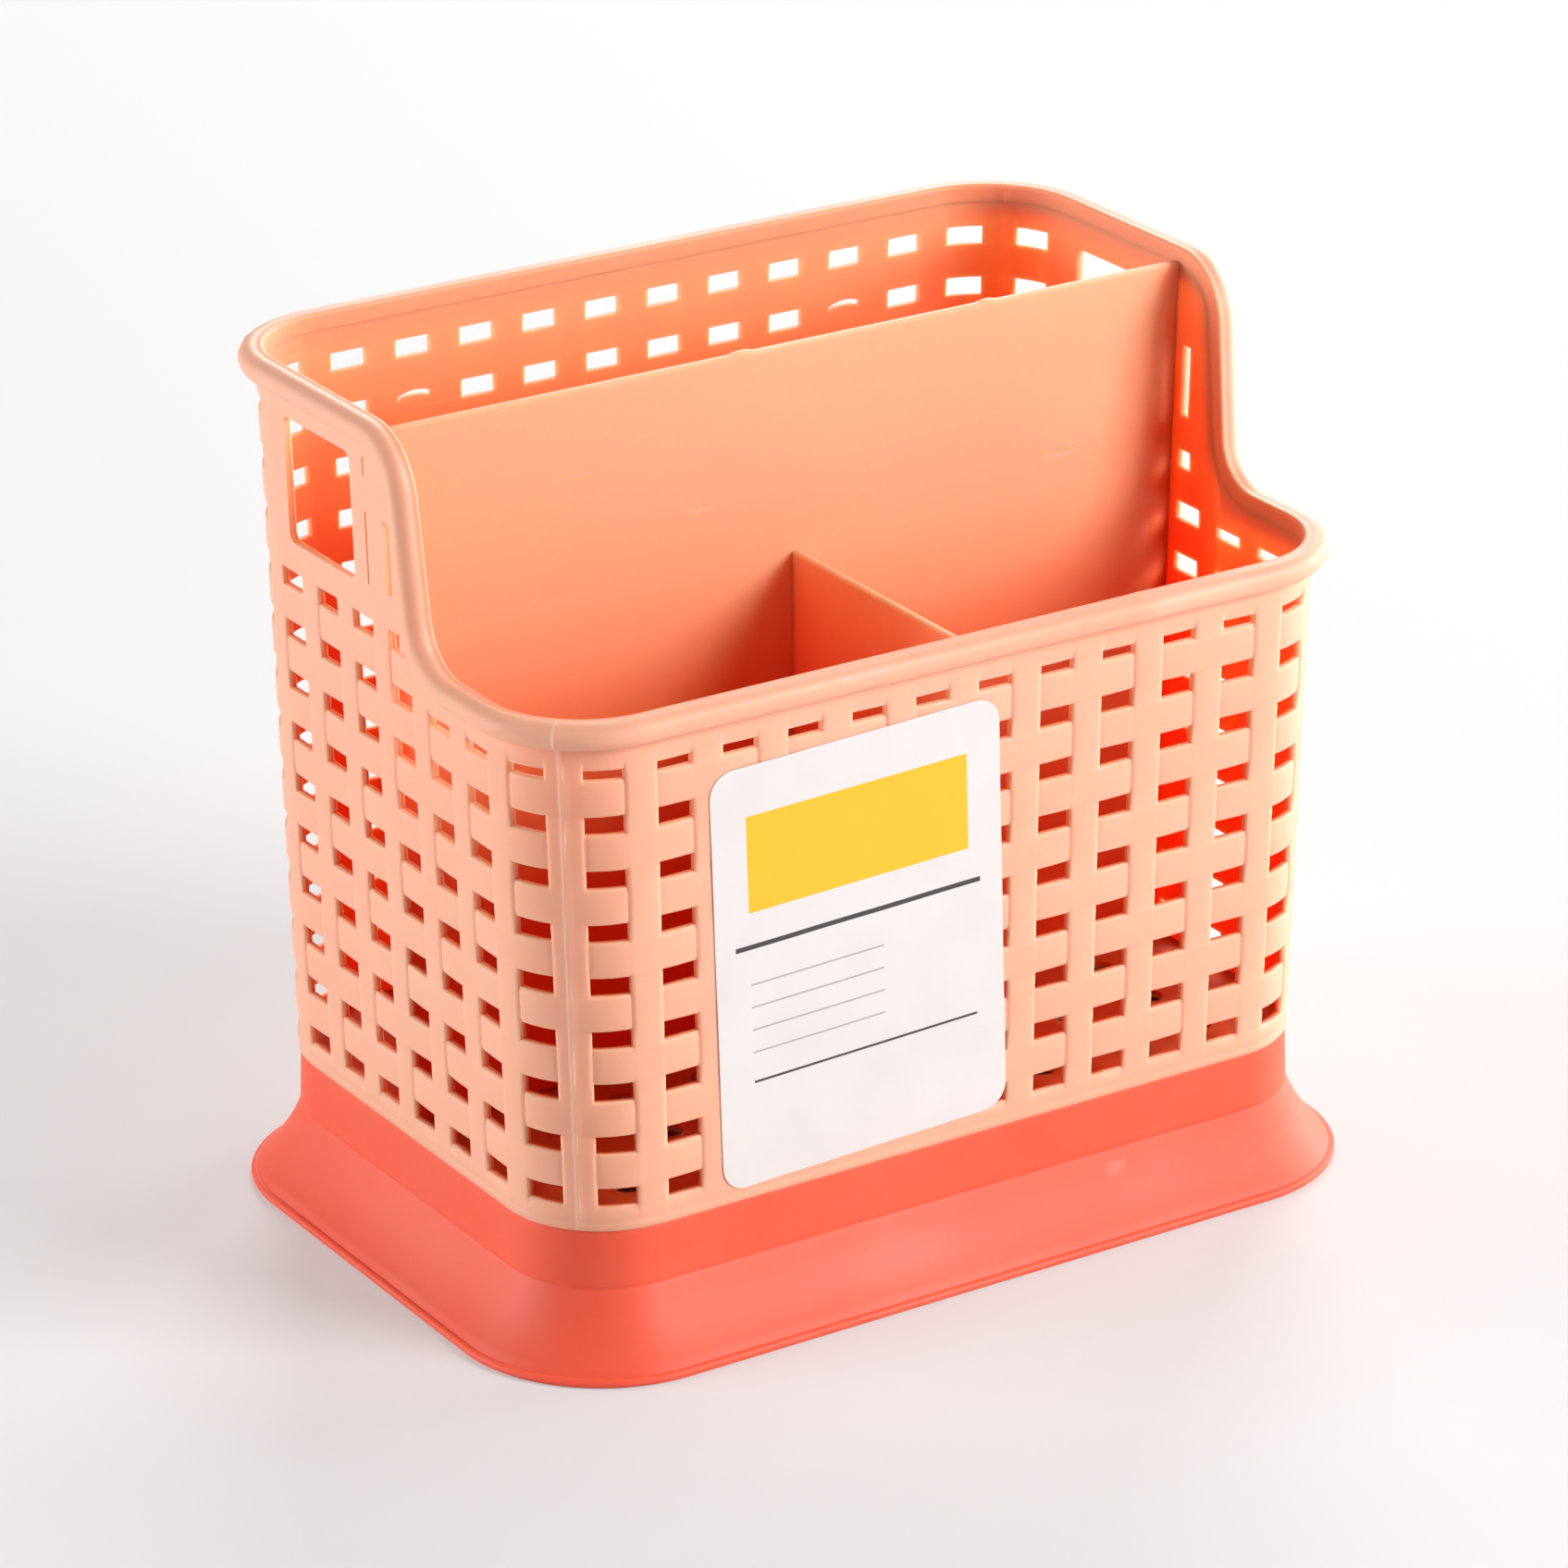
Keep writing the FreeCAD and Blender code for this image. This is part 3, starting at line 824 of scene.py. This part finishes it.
def buildWeave():
    across, up = acrossLines(), upLines()
    bm = bmesh.new()
    places = gridPlaces(bm, len(across), len(up) - 1)
    half, halfHeight = weave["openingHalf"]
    windowRow = weave["windowRow"]
    waver, waverPitch, waverDrift = weave["partingWaver"]
    for vert, (column, rank) in places.items():
        line, upLine = across[column % len(across)], up[rank]
        zone, inStrip, offset, shift = line
        row, kind, z, measure = upLine
        side = zones[zone][0]
        relief = reliefDepth(line, upLine)
        if aheadOfStep(zone) and row == weave["frontRow"]:
            if kind == "opening":
                low = rowMiddle(row) - halfHeight
                z = low + (weave["frontTop"] - low) * measure
            elif kind == "strip":
                relief = 0.0
        if isHanger(zone, row) and not inStrip:
            slit, arch = weave["hangerSlit"]
            bow = arch * (offset / half) ** 2
            if kind == "opening" and measure == 1:
                z -= bow
            elif kind == "opening" and measure > 0.5:
                z = z + halfHeight - weave["rowLines"][1] - slit - bow
            relief = 0.0
        besideWindow = row >= windowRow or (row == windowRow - 1 and kind == "strip")
        if besideStep(zone) and besideWindow:
            relief = 0.0
        spot = onWall(runAt(line, upLine, z), z, 0)
        z = min(z, topAt(spot.y))
        depth = relief * plainness(spot.y, z, side % 2 == 1)
        if inStrip and offset == 0.5 and shift == 0 and atCorner(zone):
            swing = math.sin(z * waverPitch) * math.sin(z * waverDrift + zone)
            depth -= weave["partingLine"] * (1 + waver * swing)
        if kind == "band" and row < 0:
            depth += weave["footDips"].get(round(z - seat, 3), 0)
        vert.co = onWall(runAt(line, upLine, z), z, depth)
    gone = []
    (winFront, winBack), (winLow, winHigh) = weave["window"]
    for face in bm.faces:
        column, rank = (min(places[vert][way] for vert in face.verts) for way in (0, 1))
        zone, inStrip, offset, shift = across[column]
        row, kind, height, measure = up[rank]
        following = across[(column + 1) % len(across)]
        aboveLine = up[rank + 1]
        centre = face.calc_center_median()
        inColumn = not inStrip and following[0] == zone and not following[1]
        inRow = kind == "opening" and aboveLine[1] == "opening" and aboveLine[0] == row
        joinsRows = row == windowRow and besideStep(zone)
        cellOffset = (offset + following[2]) / 2
        rise = (height + aboveLine[2]) / 2 - rowMiddle(row)
        onEnd = abs(centre.x) > wall["halfLength"] - 1
        if inColumn and (inRow or joinsRows) and isOpen(zone, row, cellOffset, rise):
            gone.append(face)
        elif onEnd and winFront < centre.y < winBack and winLow < centre.z < winHigh:
            gone.append(face)
    bmesh.ops.delete(bm, geom=gone, context="FACES")
    cleanUp(bm)
    roundWindows(bm)
    bmesh.ops.recalc_face_normals(bm, faces=bm.faces)
    for vert in secondLayer(bm, bm.faces[:]):
        vert.co = innerPoint(vert.co)
    bmesh.ops.recalc_face_normals(bm, faces=bm.faces)
    finishPiece("basket_weave", bm, "basket", sharpAngle=weave["sharpAngle"])


buildWeave()

rim = {
    "height": 4.2,
    "reach": 2.5,
    "inside": 1.45,        # inner face, inwards from the outside of the wall
    "innerRound": 0.6,
    "footShare": 0.7,
    "topGroove": ((-0.75, -0.035), (-0.4, -0.1), (-0.1, -0.1), (0.2, -0.04)),   # shallow valley
    "beadArc": (86, -90, 16),
    "underBead": (0.05, 0.3),   # it ends just off the wall, then rises this far inside it
    "cornerSteps": 14,
    "flash": (0.9, 0.06),  # half angle and growth of the parting line on each corner
    "nub": (32.5, 2.6, 0.14),   # gate mark on the front: place, half length, growth
}


def rimStations():
    flashAngle, flashGrowth = rim["flash"]
    turns = sorted([90 * step / rim["cornerSteps"] for step in range(rim["cornerSteps"] + 1)]
                   + [45 - flashAngle, 45 + flashAngle])
    points = []

    def addCorner(corner, z):
        spots = cornerSpots(corner, halfLength(z), halfWidth(z), wall["corner"], z, turns)
        for turn, (spot, out) in zip(turns, spots):
            points.append((spot, out, 1 + flashGrowth * (turn == 45)))

    low = wall["lowRim"]
    addCorner(corners[0], highRim)
    for y, z in openPath[1:-1]:
        points.append((Vector((halfLength(z), y, z)), Vector((1, 0, 0)), 1))
    addCorner(corners[1], low)
    place, half, growth = rim["nub"]
    for share in (1, 0.6, 0, -0.6, -1):
        spot = Vector((place + share * half, -halfWidth(low), low))
        points.append((spot, Vector((0, -1, 0)), 1 + growth * (1 - share * share)))
    addCorner(corners[2], low)
    for y, z in reversed(openPath[1:-1]):
        points.append((Vector((-halfLength(z), y, z)), Vector((-1, 0, 0)), 1))
    addCorner(corners[3], highRim)
    stations = []
    for index, (spot, out, growth) in enumerate(points):
        before = (spot - points[index - 1][0]).normalized()
        after = (points[(index + 1) % len(points)][0] - spot).normalized()
        along = (before + after).normalized()
        out = (out - along * out.dot(along)).normalized()
        stations.append(station(spot, out, along.cross(out)) @ Matrix.Diagonal((growth, 1, 1, 1)))
    return stations


def buildRim():
    r = rim
    radius = r["height"] / 2
    beadStart = r["reach"] - radius
    inside, soft = -r["inside"], r["innerRound"]
    foot = -r["height"] * r["footShare"]
    offWall, tuck = r["underBead"]
    profile = [(inside, foot)]
    profile += arcPoints((inside + soft, -soft), soft, 180, 90, 5)
    profile += r["topGroove"]
    profile += arcPoints((beadStart, -radius), radius, *r["beadArc"])
    middle = -wall["thick"] / 2
    profile += [(offWall, -r["height"] - offWall), (middle, -r["height"] + tuck), (middle, foot)]
    bm = bmesh.new()
    sweep(bm, profile, rimStations(), True)
    cleanUp(bm)
    finishPiece("basket_rim", bm, "basket")


buildRim()

base = {
    "floor": 1.5,
    "drain": 5.0,
    "drainPitch": (15.0, 13.0),
    "firstDrain": 9.5,
    "drainColumns": 8,
    "drainRows": 3,
    "drainInset": 2.0,     # plain border round each hole's cell
    "drainCuts": 4,
    "edgeInset": 0.6,      # the slab ends inside the wall
    "ringGap": 2.1,        # the locating ring stands in from the outside of the wall
    "ringWall": 1.2,
    "ringDepth": 4.0,
    "ringRound": 0.3,
    "ringOverlap": 0.2,
    "ringSteps": 12,
}


def buildFloor():
    b = base
    pitchX, pitchY = b["drainPitch"]
    endX = halfLength(seat) - b["edgeInset"]
    endY = halfWidth(seat) - b["edgeInset"]
    radius = wall["corner"] - b["edgeInset"]
    xs = [(index - b["drainColumns"] / 2) * pitchX for index in range(b["drainColumns"] + 1)]
    ys = [b["firstDrain"] + (index - 0.5) * pitchY for index in range(b["drainRows"] + 1)]
    xs = [-endX] + xs + [endX]
    ys = [-endY] + [-y for y in reversed(ys)] + ys + [endY]
    bm = bmesh.new()
    for vert, (column, rank) in gridPlaces(bm, len(xs) - 1, len(ys) - 1).items():
        vert.co = (xs[column], ys[rank], seat + b["floor"])
    cells = []
    for face in bm.faces:
        middle = face.calc_center_median()
        inColumns = abs(middle.x) < xs[-2]
        inRows = abs(ys[-2]) > abs(middle.y) > b["firstDrain"] - pitchY / 2
        if inColumns and inRows:
            cells.append((face, middle))
    bmesh.ops.bisect_edges(bm, edges=bm.edges, cuts=b["drainCuts"])
    inset = b["drainInset"]
    cellFaces = [face for face, middle in cells]
    bmesh.ops.inset_individual(bm, faces=cellFaces, thickness=inset, use_even_offset=True)
    for face, middle in cells:
        for vert in face.verts:
            x = (vert.co.x - middle.x) / (pitchX / 2 - inset)
            y = (vert.co.y - middle.y) / (pitchY / 2 - inset)
            angle = math.pi / 4 * (y / x if abs(x) >= abs(y) else 2 - x / y)
            angle += math.pi if (x if abs(x) >= abs(y) else y) < 0 else 0
            vert.co.x = middle.x + b["drain"] / 2 * math.cos(angle)
            vert.co.y = middle.y + b["drain"] / 2 * math.sin(angle)
    bmesh.ops.delete(bm, geom=cellFaces, context="FACES_ONLY")
    for vert in bm.verts:
        past = Vector((abs(vert.co.x) - endX + radius, abs(vert.co.y) - endY + radius))
        if past.x > 0 and past.y > 0 and past.length > radius:
            past = past.normalized() * radius
            vert.co.x = math.copysign(endX - radius + past.x, vert.co.x)
            vert.co.y = math.copysign(endY - radius + past.y, vert.co.y)
    bmesh.ops.translate(bm, vec=(0, 0, -b["floor"]), verts=secondLayer(bm, bm.faces[:]))
    bmesh.ops.recalc_face_normals(bm, faces=bm.faces)
    ringX = halfLength(seat) - b["ringGap"]
    ringY = halfWidth(seat) - b["ringGap"]
    ringCorner = wall["corner"] - b["ringGap"]
    depth, thick, soft, overlap = b["ringDepth"], b["ringWall"], b["ringRound"], b["ringOverlap"]
    profile = [(0, overlap), (0, soft - depth), (-soft, -depth)]
    profile += [(soft - thick, -depth), (-thick, soft - depth), (-thick, overlap)]
    ring = bmesh.new()
    sweep(ring, profile, roundedRectangle(ringX, ringY, ringCorner, seat, b["ringSteps"]), True)
    cleanUp(ring)
    ringMesh = bpy.data.meshes.new("locatingRing")
    ring.to_mesh(ringMesh)
    ring.free()
    bm.from_mesh(ringMesh)
    bpy.data.meshes.remove(ringMesh)
    finishPiece("basket_floor", bm, "basket")


buildFloor()

panels = {
    "thick": 1.5,
    "longDrop": 2.3,       # below the high rim
    "crossDrop": 0.9,      # below the low rim
    "edge": 0.4,
    "nubs": ((35.8, 1.8), (-9.0, 2.2)),   # gate marks on the long panel's top edge: place, length
    "nubHeight": 0.35,
}


def panelBlock(bm, outline, thick, along):
    # a panel from its outline, thickened evenly and with its edges broken
    verts = [bm.verts.new(point) for point in outline]
    moved = secondLayer(bm, [bm.faces.new(verts)])
    bmesh.ops.translate(bm, vec=along * thick, verts=moved)
    bmesh.ops.translate(bm, vec=-along * thick / 2, verts=bm.verts)
    bmesh.ops.recalc_face_normals(bm, faces=bm.faces)
    bmesh.ops.bevel(bm, geom=bm.edges, affect="EDGES", offset=panels["edge"], offset_type="OFFSET",
                    segments=3, profile=0.5, material=-1)


def buildDividers():
    p = panels
    low = seat + base["floor"]
    top = highRim - p["longDrop"]
    inner = wall["thick"]
    bm = bmesh.new()
    outline = [(side * (halfLength(z) - inner), 0, z) for side, z in ((-1, low), (1, low), (1, top))]
    for place, length in p["nubs"]:
        for share in (1, 0.5, 0, -0.5, -1):
            outline.append((place + share * length, 0, top + p["nubHeight"] * (1 - share * share)))
    outline.append((inner - halfLength(top), 0, top))
    panelBlock(bm, outline, p["thick"], Vector((0, 1, 0)))
    finishPiece("long_divider_panel", bm, "long_divider")
    top = wall["lowRim"] - p["crossDrop"]
    back = -p["thick"] / 2
    bm = bmesh.new()
    outline = [(0, back, low)] + [(0, inner - halfWidth(z), z) for z in (low, top)] + [(0, back, top)]
    panelBlock(bm, outline, p["thick"], Vector((1, 0, 0)))
    finishPiece("cross_divider_panel", bm, "cross_divider")


buildDividers()

label = {
    "size": (51.0, 68.0),
    "corner": 4.0,
    "centre": (-18.4, 58.9),
    "turn": 1.9,
    "paper": 0.12,
    "white": (0.76, 0.735, 0.725),
    "shade": (0.73, 0.705, 0.69),
    "ink": (0.05, 0.045, 0.045),
    "greyInk": (0.42, 0.41, 0.41),
    "swatch": (0.84, 0.50, 0.012),
    # generic print: (left, right, bottom, top) from the middle of the label
    "darkRules": ((-22.0, 21.5, 4.6, 5.4), (-19.5, 20.5, -17.3, -16.9)),
    "greyRules": (
        (-19.5, 4.0, -1.3, -1.0), (-19.5, 4.0, -5.0, -4.7),
        (-19.5, 4.0, -8.7, -8.4), (-19.5, 4.0, -12.4, -12.1),
    ),
    "swatchBox": (-19.5, 19.5, 10.5, 26.0),
    "fibre": (90, 4),                # scale, detail
    "fibreRange": (0.35, 0.65),
    "roughness": (0.38, 0.5),
    "tooth": (320, 3),
    "toothStrength": 0.05,
    "toothDepth": 0.0003,
    "cornerSteps": 8,
    "cuts": (17, 23),                # strips across and up, so that the sheet can ripple
    "lift": 0.05,
    "ripple": (0.04, 0.31, 0.23, 0.6),   # height, turns for each mm across and up, start
}


def boxMask(place, left, right, bottom, top):
    across = valueMath("COMPARE", place["X"], (left + right) / 2 / mm, (right - left) / 2 / mm)
    up = valueMath("COMPARE", place["Y"], (bottom + top) / 2 / mm, (top - bottom) / 2 / mm)
    return valueMath("MULTIPLY", across, up)


def coatedPaper():
    material, shader, coords = newMaterial("coatedPaper")
    centreX, centreZ = label["centre"]
    centre = (centreX / mm, -halfWidth(centreZ) / mm, centreZ / mm)
    turn = (math.radians(90), math.radians(-label["turn"]), 0)
    place = parts(placed(coords, Location=centre, Rotation=turn))
    fibre = noiseNode(coords, *label["fibre"])
    colour = blended(spread(fibre, *label["fibreRange"]), label["white"], label["shade"])
    colour = blended(boxMask(place, *label["swatchBox"]), colour, label["swatch"])
    for rules, ink in (("darkRules", "ink"), ("greyRules", "greyInk")):
        for sides in label[rules]:
            colour = blended(boxMask(place, *sides), colour, label[ink])
    tooth = noiseNode(coords, *label["tooth"])
    feed(shader, {
        "Base Color": colour,
        "Roughness": spread(fibre, *surface["glossRange"], *label["roughness"]),
        "Normal": bumpFrom(tooth, label["toothStrength"], label["toothDepth"]),
    })
    return material


def buildLabel():
    width, height = label["size"]
    bm = bmesh.new()
    bmesh.ops.create_grid(bm, x_segments=1, y_segments=1, size=1)
    bmesh.ops.scale(bm, vec=(width / 2, height / 2, 1), verts=bm.verts)
    bmesh.ops.bevel(bm, geom=bm.verts, affect="VERTICES", offset=label["corner"], offset_type="OFFSET",
                    segments=label["cornerSteps"], profile=0.5, material=-1)
    squares = (Vector((1, 0, 0)), Vector((0, 1, 0)))
    for count, length, square in zip(label["cuts"], label["size"], squares):
        for step in range(1, count):
            cut = bm.verts[:] + bm.edges[:] + bm.faces[:]
            spot = square * ((step / count - 0.5) * length)
            bmesh.ops.bisect_plane(bm, geom=cut, plane_co=spot, plane_no=square)
    rise, turnX, turnY, start = label["ripple"]
    for vert in bm.verts:
        vert.co.z = label["lift"] + rise * math.sin(vert.co.x * turnX) * math.sin(vert.co.y * turnY + start)
    bmesh.ops.translate(bm, vec=(0, 0, label["paper"]), verts=secondLayer(bm, bm.faces[:]))
    bmesh.ops.recalc_face_normals(bm, faces=bm.faces)
    centreX, centreZ = label["centre"]
    upright = Matrix.Rotation(math.radians(90) + math.atan(wall["faceLean"]), 4, "X")
    turn = Matrix.Rotation(math.radians(label["turn"]), 4, "Z")
    place = Matrix.Translation((centreX, -halfWidth(centreZ), centreZ)) @ upright @ turn
    bmesh.ops.transform(bm, matrix=place, verts=bm.verts)
    finishPiece("front_label_sheet", bm, "front_label", coatedPaper())


buildLabel()

studio = {
    "floorColour": (0.70, 0.682, 0.692),
    "fade": ((0.10, 0.32), (1.10, 0.74)),   # metres from the middle, share of white seen there
    "haze": (1.5, 1),
    "hazeShare": 0.99,
    "roughness": 0.6,
    "sheen": 0.2,
    "halfSize": 4,
    "fillStrength": 0.14,
    "aim": (0, 0, 0.06),
    # place in metres, size, watts, colour
    "lamps": {
        "rightSoftbox": ((1.29, -1.65, 1.12), 1.1, 64, (1, 0.985, 0.98)),
        "leftSoftbox": ((-1.85, 0.99, 0.55), 1.1, 36, (0.99, 0.98, 0.99)),
        "rearSoftbox": ((1.2, 1.5, 1.1), 0.9, 26, (1, 1, 1)),
        "sideSoftbox": ((2.05, 0.15, 0.38), 0.9, 34, (1, 1, 1)),
    },
}


def buildStudio():
    material, shader, coords = newMaterial("studioFloor")
    haze = noiseNode(coords, *studio["haze"])
    colour = studio["floorColour"]
    hazed = tuple(channel * studio["hazeShare"] for channel in colour)
    feed(shader, {
        "Base Color": blended(haze, colour, hazed),
        "Roughness": studio["roughness"],
        "Specular IOR Level": studio["sheen"],
    })
    far = vectorMath("LENGTH", coords)
    (near, nearShare), (distant, distantShare) = studio["fade"]
    fade = spread(far, near, distant, nearShare, distantShare)
    rays = newNode(coords, "LightPath", {})
    seen = valueMath("MULTIPLY", fade, rays.outputs["Is Camera Ray"])
    white = newNode(coords, "Emission", {})
    mix = newNode(coords, "MixShader", {0: seen, 1: shader.outputs[0], 2: white.outputs[0]})
    feed(material.node_tree.nodes["Material Output"], {"Surface": mix.outputs[0]})
    bm = bmesh.new()
    bmesh.ops.create_grid(bm, x_segments=8, y_segments=8, size=studio["halfSize"])
    mesh = bpy.data.meshes.new("studioFloor")
    bm.to_mesh(mesh)
    bm.free()
    mesh.materials.append(material)
    floor = bpy.data.objects.new("studioFloor", mesh)
    bpy.context.scene.collection.objects.link(floor)
    world = bpy.data.worlds.new("studioWorld")
    bpy.context.scene.world = world
    world.use_nodes = True
    backdrop = world.node_tree.nodes["Background"]
    feed(backdrop, {"Color": (1, 1, 1, 1), "Strength": studio["fillStrength"]})
    for name, (place, size, watts, colour) in studio["lamps"].items():
        lamp = bpy.data.lights.new(name, "AREA")
        lamp.shape = "SQUARE"
        lamp.size = size
        lamp.energy = watts
        lamp.color = colour
        holder = bpy.data.objects.new(name, lamp)
        holder.location = place
        aim = Vector(studio["aim"]) - Vector(place)
        holder.rotation_euler = aim.to_track_quat("-Z", "Y").to_euler()
        bpy.context.scene.collection.objects.link(holder)


buildStudio()

view = {
    "place": (-0.5081, -0.7886, 0.4562),
    "azimuth": -32.704,
    "elevation": 22.679,
    "roll": -0.24,
    "focal": 7059.8,       # in pixels of the 1695 wide picture
    "pictureWidth": 1695,
    "sensor": 36.0,
    "farClip": 20,
}


def buildCamera():
    azimuth, elevation = math.radians(view["azimuth"]), math.radians(view["elevation"])
    level = math.cos(elevation)
    back = Vector((math.sin(azimuth) * level, -math.cos(azimuth) * level, math.sin(elevation)))
    right = Vector((math.cos(azimuth), math.sin(azimuth), 0))
    turn = Matrix((right, back.cross(right), back)).transposed().to_4x4()
    data = bpy.data.cameras.new("photoCamera")
    data.sensor_width = view["sensor"]
    data.lens = view["focal"] * view["sensor"] / view["pictureWidth"]
    data.clip_end = view["farClip"]
    camera = bpy.data.objects.new("photoCamera", data)
    roll = Matrix.Rotation(math.radians(view["roll"]), 4, "Z")
    camera.matrix_world = Matrix.Translation(view["place"]) @ turn @ roll
    bpy.context.scene.collection.objects.link(camera)
    bpy.context.scene.camera = camera


buildCamera()
bpy.context.scene.view_settings.view_transform = "Standard"
bpy.context.view_layer.update()
print("scene ready")
